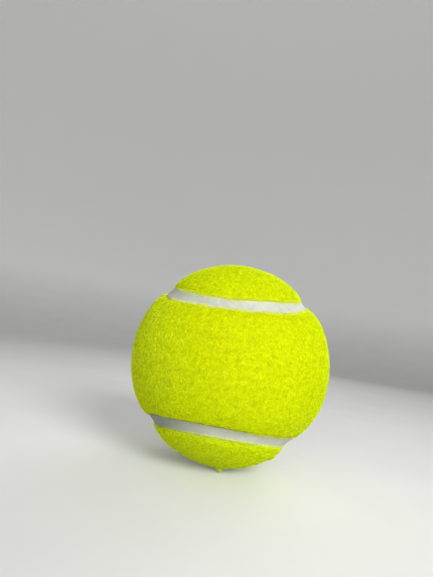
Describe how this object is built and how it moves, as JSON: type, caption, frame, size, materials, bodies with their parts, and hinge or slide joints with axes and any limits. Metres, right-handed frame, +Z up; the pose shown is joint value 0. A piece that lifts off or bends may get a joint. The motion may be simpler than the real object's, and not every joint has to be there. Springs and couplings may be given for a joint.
{
  "type": "tennis ball",
  "caption": "Felt-covered tennis ball: hollow rubber core in cemented halves, dog-bone felt panels in optic yellow and a sunken white rubber seam strip.",
  "frame": {"origin": "centre of the ball", "axes": "+Z up as the ball lies in the picture, -Y towards the camera and through the middle of the front panel's waist, +X to the right"},
  "size_m": [0.067, 0.067, 0.067],
  "materials": {
    "felt": "napped, matte",
    "seam_rubber": "moulded, matte",
    "core_rubber": "moulded, matte",
    "cement": "cured, satin"
  },
  "bodies": {
    "root": {"core_half_upper": "core_rubber", "core_half_lower": "core_rubber", "core_joint_cement": "cement", "front_panel_cement": "cement", "rear_panel_cement": "cement", "front_felt_panel": "felt", "rear_felt_panel": "felt", "seam_strip": "seam_rubber"}
  },
  "joints": []
}
